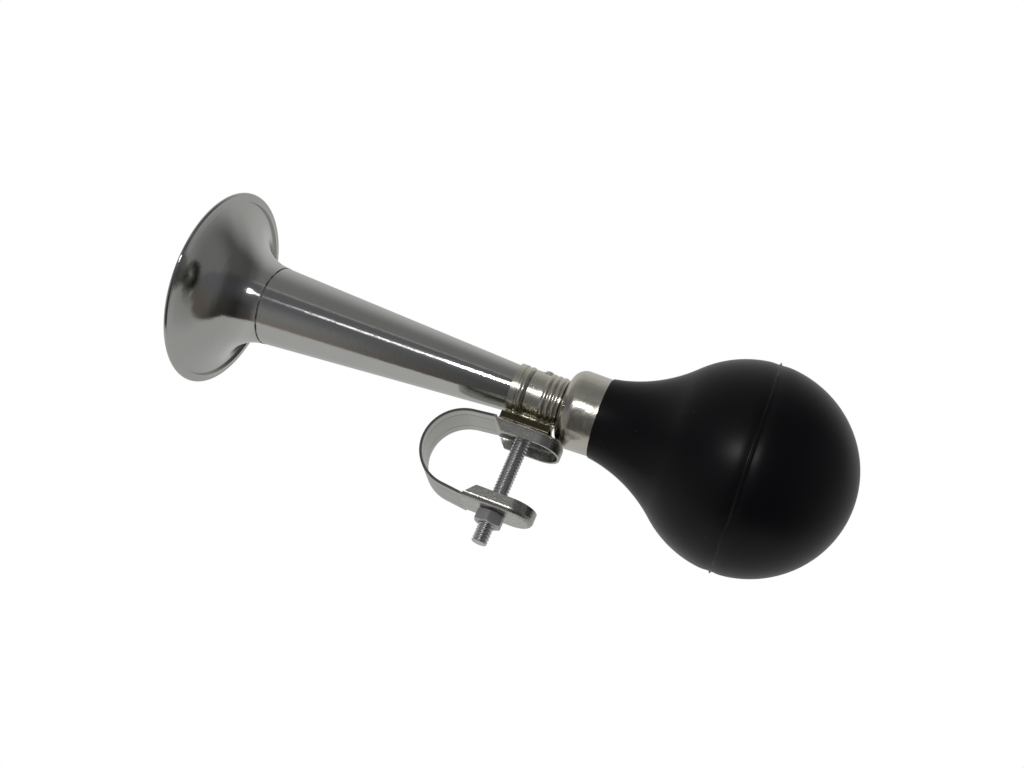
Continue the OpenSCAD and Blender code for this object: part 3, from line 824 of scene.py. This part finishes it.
class HORN_OT_reed(Operator):
    """Rolls the reed's tongue: a flat root that the wedge holds, and a leaf that curls up from there."""

    bl_idname = "bulb_horn.reed"
    bl_label = "Reed tongue"

    def execute(self, context):
        size = context.scene.horn_reed
        wide, across, segments = TONGUE_HI.y - TONGUE_LO.y, 4, 26
        seat_gap, bend = 0.025 * MM, 7 * MM
        root, base = TONGUE_LO.x + size.held, TROUGH_HI.z + seat_gap
        curl = math.asin((TONGUE_HI.x - root) / size.curl_r + math.sin(size.lift)) - size.lift
        line = [(along, base) for along in even(TONGUE_LO.x, root, 1.0 * MM)]
        for turn in even(size.lift, size.lift + curl, curl / segments)[1:]:
            run = size.curl_r * (math.sin(turn) - math.sin(size.lift))
            line.append((root + run, base + size.curl_r * (math.cos(size.lift) - math.cos(turn))))
        tongue = traced("reed_leaf", [(along, TONGUE_LO.y, height) for along, height in line])
        bpy.ops.mesh.select_mode(type="EDGE")
        bpy.ops.mesh.select_all(action="SELECT")
        for _ in range(across):
            bpy.ops.mesh.extrude_region_move(TRANSFORM_OT_translate={"value": (0, wide / across, 0)})
        bpy.ops.mesh.select_all(action="SELECT")
        bpy.ops.mesh.normals_make_consistent(inside=False)
        bpy.ops.object.mode_set(mode="OBJECT")
        upward = 1 if tongue.data.polygons[0].normal.z > 0 else -1
        rolled = tongue.modifiers.new("Thickness", "SOLIDIFY")
        rolled.thickness = size.thickness
        rolled.offset = upward
        rolled.use_even_offset = True
        sheared = tongue.modifiers.new("Sheared edge", "BEVEL")
        sheared.width = 0.04 * MM
        sheared.segments = 2
        sheared.limit_method = "ANGLE"
        sheared.angle_limit = math.radians(60)
        for modifier in ("Thickness", "Sheared edge"):
            bpy.ops.object.modifier_apply(modifier=modifier)
        bpy.ops.object.mode_set(mode="EDIT")
        bpy.ops.mesh.select_all(action="SELECT")
        bpy.ops.mesh.normals_make_consistent(inside=False)
        bpy.ops.object.mode_set(mode="OBJECT")
        tongue.data.materials.append(finish("turned brass"))
        smoothed(tongue)
        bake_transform(tongue)
        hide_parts("reed_tongue")
        return {"FINISHED"}


class HORN_OT_bulb(Operator):
    """Turns the hollow rubber bulb, with its moulding seam and the two nubs on the seam"""

    bl_idname = "bulb_horn.bulb"
    bl_label = "Rubber bulb"

    def execute(self, context):
        size = context.scene.horn_bulb
        ball_x = BULB_HI.x - size.ball_r
        far = size.ball_r + size.curve_r
        curve_x = ball_x - math.sqrt(far**2 - (size.neck_r + size.curve_r) ** 2)
        lean = math.degrees(math.asin((ball_x - curve_x) / far))
        lip = FERRULE_HI.x
        start, mouth = BULB_LO.x, INSERT_HI.x + 0.05 * MM
        bore, seat_r = 7.85 * MM, 12.05 * MM

        def neck_arc(radius, from_x, count):
            """Points of the hollow curve, from a place along the axis to where the ball takes over."""
            first = math.degrees(math.asin((from_x - curve_x) / radius))
            points = arc((0, 0), radius, first, lean, count)
            return [(size.neck_r + size.curve_r - r, curve_x + x) for r, x in points]

        seam = 4.0 * MM
        edge = math.degrees(math.asin(seam / size.ball_r))
        profile = [(bore, start), (10.6 * MM, start), (11.6 * MM, start + 1.2 * MM)]
        profile += [(seat_r, start + 3 * MM)]
        profile += [(seat_r - 0.2 * MM, lip - 0.3 * MM), (seat_r + 0.1 * MM, lip + 0.05 * MM)]
        profile += neck_arc(size.curve_r, lip + 0.3 * MM, 36)
        profile += arc((0, ball_x), size.ball_r, -lean, -edge, 40)[1:-1]
        offsets = even(-seam, -0.7 * MM, 0.35 * MM) + even(-0.5 * MM, 0.5 * MM, 0.1 * MM)
        offsets += even(0.7 * MM, seam, 0.35 * MM)
        profile += [(math.sqrt(size.ball_r**2 - off**2), ball_x + off) for off in offsets]
        profile += arc((0, ball_x), size.ball_r, edge, 90, 60)[1:-1]
        profile += [(0, BULB_HI.x), (0, BULB_HI.x - size.wall)]
        profile += arc((0, ball_x), size.ball_r - size.wall, 90, -lean, 40)[1:-1]
        profile += neck_arc(size.curve_r + size.wall, mouth, 12)[::-1]
        profile += [(bore, mouth)]
        bulb = turned("rubber_bulb", profile, *HORN_LINE, BULB_STEPS, True)
        self.shape_seam(bulb, size, ball_x, seam)
        bulb.data.materials.append(finish("moulded rubber"))
        smoothed(bulb, math.radians(60))
        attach(bulb, "bulb_fitting")
        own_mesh(bulb)
        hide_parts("bulb")
        return {"FINISHED"}

    def shape_seam(self, bulb, size, ball_x, seam):
        """Makes the seam uneven round the ball and raises the two nubs where the mould was broken off."""
        for vertex in bulb.data.vertices:
            off = vertex.co.x - ball_x
            flat = Vector((0, vertex.co.y, vertex.co.z - HORN_Z))
            if abs(off) > seam or flat.length < size.ball_r - 0.5 * size.wall:
                continue
            plain_r = math.sqrt(size.ball_r**2 - off**2)
            turn = math.atan2(flat.z, flat.y)
            round_place = Vector((math.cos(turn), math.sin(turn), 0))
            share = 1.0 + 0.9 * noise.noise(9 * round_place) + 0.4 * noise.noise(31 * round_place)
            for nub in (118.3, -73.3):
                near = math.degrees(abs((turn - math.radians(nub) + math.pi) % math.tau - math.pi))
                share += (size.nub_height / size.seam_height - 1) * math.exp(-((near / 1.6) ** 2))
            ridge = size.seam_height * math.exp(-((off / size.seam_width) ** 2)) * share
            dip = size.dip_depth * math.exp(-((off / size.dip_width) ** 2))
            radius = plain_r + ridge - dip * (1.0 + 0.6 * noise.noise(4 * round_place + Vector((0, 0, 7))))
            vertex.co = Vector((vertex.co.x, 0, HORN_Z)) + flat.normalized() * radius
            vertex.co.x += 0.25 * MM * noise.noise(5 * round_place + Vector((0, 0, 3)))


class HORN_OT_pip(Operator):
    """Presses the small locking pip that stands on the back of the neck band"""

    bl_idname = "bulb_horn.pip"
    bl_label = "Locking pip"

    def execute(self, context):
        wide, high = 1.45 * MM, 0.8 * MM
        profile = [(0, high)] + [(wide * math.sin(a), high * math.cos(a)) for a in (0.35, 0.7, 1.0, 1.25)]
        profile += [(1.1 * wide, 0.1 * high), (1.3 * wide, 0), (1.3 * wide, -0.5 * high), (0, -0.5 * high)]
        turn, band_r = math.radians(116), 7.92 * MM
        facing = Vector((0, math.cos(turn), math.sin(turn)))
        foot = Vector((BAND_LO.x + 9.0 * MM, 0, HORN_Z)) + band_r * facing
        pip = turned("locking_pip", profile, foot, facing, (1, 0, 0), PIP_STEPS, False)
        pip.data.materials.append(finish("bright nickel"))
        smoothed(pip, math.radians(50))
        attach(pip, "horn")
        return {"FINISHED"}


# Stage


def soft_light(name, place, aim, size, power):
    """A rectangular studio light that faces a point."""
    clear_selection()
    bpy.ops.object.light_add(type="AREA", location=place)
    lamp = bpy.context.object
    lamp.name = name
    lamp.rotation_euler = (Vector(aim) - Vector(place)).to_track_quat("-Z", "Y").to_euler()
    lamp.data.shape = "RECTANGLE"
    lamp.data.size, lamp.data.size_y = size
    lamp.data.energy = power


# How brightly the plating mirrors each part of the room, from the bell's end at -1 to the bulb's end at 1.
# These levels were rounded from tones measured on the bell and the tube in the photo
NEAR_SIDE = ((-0.3, 0.24), (-0.2, 0.12), (-0.1, 0.08), (0.1, 0.06), (0.3, 0.03), (0.7, 0.05), (0.9, 0.13))
FAR_WALL = ((-0.4, 0.21), (-0.1, 0.20), (0.1, 0.12), (0.3, 0.085), (0.7, 0.10), (0.9, 0.19))
CAMERA_SIDE = ((-0.4, 0.14), (0.1, 0.12), (0.3, 0.085), (0.5, 0.065), (0.7, 0.065), (0.9, 0.135))
TABLE = ((-0.4, 0.52), (-0.15, 0.56), (0.1, 0.50), (0.5, 0.46), (0.75, 0.45), (0.95, 0.32))
# Where one part of the room passes into the next, from the same tones, in degrees round the horn's axis:
# 0 faces the camera's side and 90 is above
FAR_TABLE_EDGE = (45.0, 115.0)
NEAR_TABLE_EDGE = (-89.0, -83.0)
BROWN_EDGE = (-85.0, -55.0)
CAMERA_SIDE_EDGE = (-50.0, -18.0)
COOL_EDGE = (6.0, 16.0)
FAR_WALL_EDGE = (10.0, 24.0)
PALE_STRIP = 19.0
PALE_STRIP_HALF = 3.5
WARM_TINT = (1.0, 0.86, 0.78, 1)
COOL_TINT = (0.99, 0.96, 1.09, 1)


def along_room(tree, place, stops):
    """A brightness that changes smoothly along the room."""
    share = calc(tree, "MULTIPLY_ADD", place, 0.5, 0.5)
    made = add_node(tree, "ShaderNodeValToRGB", Fac=share)
    made.color_ramp.interpolation = "EASE"
    steps = made.color_ramp.elements
    steps.remove(steps[1])
    for k, (at, level) in enumerate(stops):
        stop = steps.new(0.5 + at / 2) if k else steps[0]
        stop.position = 0.5 + at / 2
        stop.color = (level, level, level, 1)
    return made.outputs["Color"]


def pale_room():
    """A pale room: even white behind the horn, and the softly shaded room in what the plating mirrors."""
    world = bpy.data.worlds.new("pale room")
    bpy.context.scene.world = world
    world.use_nodes = True
    tree = world.node_tree
    tree.nodes.clear()
    where = add_node(tree, "ShaderNodeTexCoord").outputs["Generated"]
    parts = add_node(tree, "ShaderNodeSeparateXYZ", Vector=where).outputs
    side = parts["X"]
    turn = calc(tree, "ARCTAN2", parts["Z"], calc(tree, "MULTIPLY", parts["Y"], -1.0))
    turn = calc(tree, "MULTIPLY", turn, 360 / math.tau)
    first_shift = spread(tree, side, -0.1, 0.6, 0.0, 20.0)
    second_shift = spread(tree, side, 0.55, 0.9, 0.0, 35.0)
    shifted = calc(tree, "SUBTRACT", turn, calc(tree, "ADD", first_shift, second_shift))
    far_edge = spread(tree, shifted, *FAR_TABLE_EDGE)
    sunk = calc(tree, "ADD", turn, spread(tree, side, 0.5, 0.95, 0.0, 40.0))
    near_edge = spread(tree, sunk, *NEAR_TABLE_EDGE, 1.0, 0.0)
    table = calc(tree, "MAXIMUM", far_edge, near_edge)
    below = spread(tree, turn, *CAMERA_SIDE_EDGE)
    above = spread(tree, turn, *FAR_WALL_EDGE)
    near = mixed(tree, below, along_room(tree, side, NEAR_SIDE), along_room(tree, side, CAMERA_SIDE))
    wall = mixed(tree, above, near, along_room(tree, side, FAR_WALL))
    brown = spread(tree, turn, *BROWN_EDGE, 1.0, 0.0)
    warm = mixed(tree, brown, wall, WARM_TINT, "MULTIPLY")
    edge = calc(tree, "ABSOLUTE", calc(tree, "SUBTRACT", turn, PALE_STRIP))
    fading = spread(tree, side, -0.1, 0.2, 1.0, 0.0)
    strip = calc(tree, "MULTIPLY", spread(tree, edge, 0.0, PALE_STRIP_HALF, 0.20, 0.0), fading)
    behind = calc(tree, "MULTIPLY", below, spread(tree, turn, *COOL_EDGE, 1.0, 0.0))
    cool = mixed(tree, behind, warm, COOL_TINT, "MULTIPLY")
    walls = mixed(tree, 1.0, cool, strip, "ADD")
    mirrored = mixed(tree, table, walls, along_room(tree, side, TABLE))
    room = add_node(tree, "ShaderNodeBackground", Color=mirrored)
    paper = add_node(tree, "ShaderNodeBackground", Color=(1, 1, 1, 1))
    seen = add_node(tree, "ShaderNodeLightPath").outputs["Is Glossy Ray"]
    blend = tree.nodes.new("ShaderNodeMixShader")
    feed(tree, blend.inputs["Fac"], seen)
    feed(tree, blend.inputs[1], paper.outputs["Background"])
    feed(tree, blend.inputs[2], room.outputs["Background"])
    feed(tree, add_node(tree, "ShaderNodeOutputWorld").inputs["Surface"], blend.outputs["Shader"])


class HORN_OT_stage(Operator):
    """Lays the pale floor and sets the lights and the camera"""

    bl_idname = "bulb_horn.stage"
    bl_label = "Stage"

    def execute(self, context):
        stage = context.scene.horn_stage
        clear_selection()
        bpy.ops.mesh.primitive_plane_add(size=6.0, location=(0, 0, -stage.floor_drop))
        floor = context.object
        floor.name = "floor"
        bpy.ops.object.transform_apply(location=True)
        pale = bpy.data.materials.new("pale floor")
        pale.use_nodes = True
        pale.node_tree.nodes["Principled BSDF"].inputs["Base Color"].default_value = (*stage.floor_tint, 1)
        pale.node_tree.nodes["Principled BSDF"].inputs["Roughness"].default_value = 0.9
        floor.data.materials.append(pale)
        floor.visible_glossy = False
        pale_room()
        horn = (0.02, 0, 0.027)
        soft_light("compact lamp", (-0.055, -0.60, -0.062), horn, (0.07, 0.05), stage.lamp_power)
        strip = ("strip lamp", -0.18, 0.12, stage.strip_power)
        end = ("strip's end", -0.272, 0.05, stage.end_power)
        for name, x, long, power in (strip, end):
            soft_light(name, (x, -0.592, -0.072), (x, 0, horn[2]), (long, 0.03), power)
        camera = bpy.data.cameras.new("camera")
        seat = bpy.data.objects.new("camera", camera)
        context.scene.collection.objects.link(seat)
        right = Vector(CAMERA_RIGHT).normalized()
        back = right.cross(Vector(CAMERA_UP)).normalized()
        facing = Matrix((right, back.cross(right).normalized(), back)).transposed().to_4x4()
        seat.matrix_world = Matrix.Translation(Vector(stage.camera_place)) @ facing
        camera.lens = stage.lens
        camera.sensor_width = 36.0
        camera.clip_start = 0.01
        context.scene.camera = seat
        context.scene.view_settings.view_transform = "Standard"
        return {"FINISHED"}


class HORN_PT_panel(Panel):
    """Sidebar panel that lists the sizes, the colours and the steps"""

    bl_idname = "HORN_PT_panel"
    bl_label = "Bulb horn"
    bl_space_type = "VIEW_3D"
    bl_region_type = "UI"
    bl_category = "Bulb horn"

    def draw(self, context):
        for name in SETTINGS:
            settings = getattr(context.scene, name)
            box = self.layout.box()
            for key in settings.__annotations__:
                box.prop(settings, key)
        for step in STEPS:
            self.layout.operator(step.bl_idname)


SETTINGS = {
    "horn_bulb": HornBulbSettings,
    "horn_thread": HornThreadSettings,
    "horn_reed": HornReedSettings,
    "horn_plating": HornPlatingSettings,
    "horn_stage": HornStageSettings,
}
STEPS = (
    HORN_OT_plating,
    HORN_OT_bolt,
    HORN_OT_nut,
    HORN_OT_neck_threads,
    HORN_OT_reed,
    HORN_OT_bulb,
    HORN_OT_pip,
    HORN_OT_stage,
)


def register():
    """Registers the settings, the steps and the panel."""
    for kind in (*SETTINGS.values(), *STEPS, HORN_PT_panel):
        bpy.utils.register_class(kind)
    for name, kind in SETTINGS.items():
        setattr(bpy.types.Scene, name, PointerProperty(type=kind))


def unregister():
    """Takes back what register has added."""
    for name in SETTINGS:
        delattr(bpy.types.Scene, name)
    for kind in reversed((*SETTINGS.values(), *STEPS, HORN_PT_panel)):
        bpy.utils.unregister_class(kind)


def main():
    """Builds the horn step by step."""
    register()
    bpy.ops.bulb_horn.plating()
    bpy.ops.bulb_horn.bolt()
    bpy.ops.bulb_horn.nut()
    bpy.ops.bulb_horn.neck_threads()
    bpy.ops.bulb_horn.reed()
    bpy.ops.bulb_horn.bulb()
    bpy.ops.bulb_horn.pip()
    bpy.ops.bulb_horn.stage()


if __name__ == "__main__":
    main()
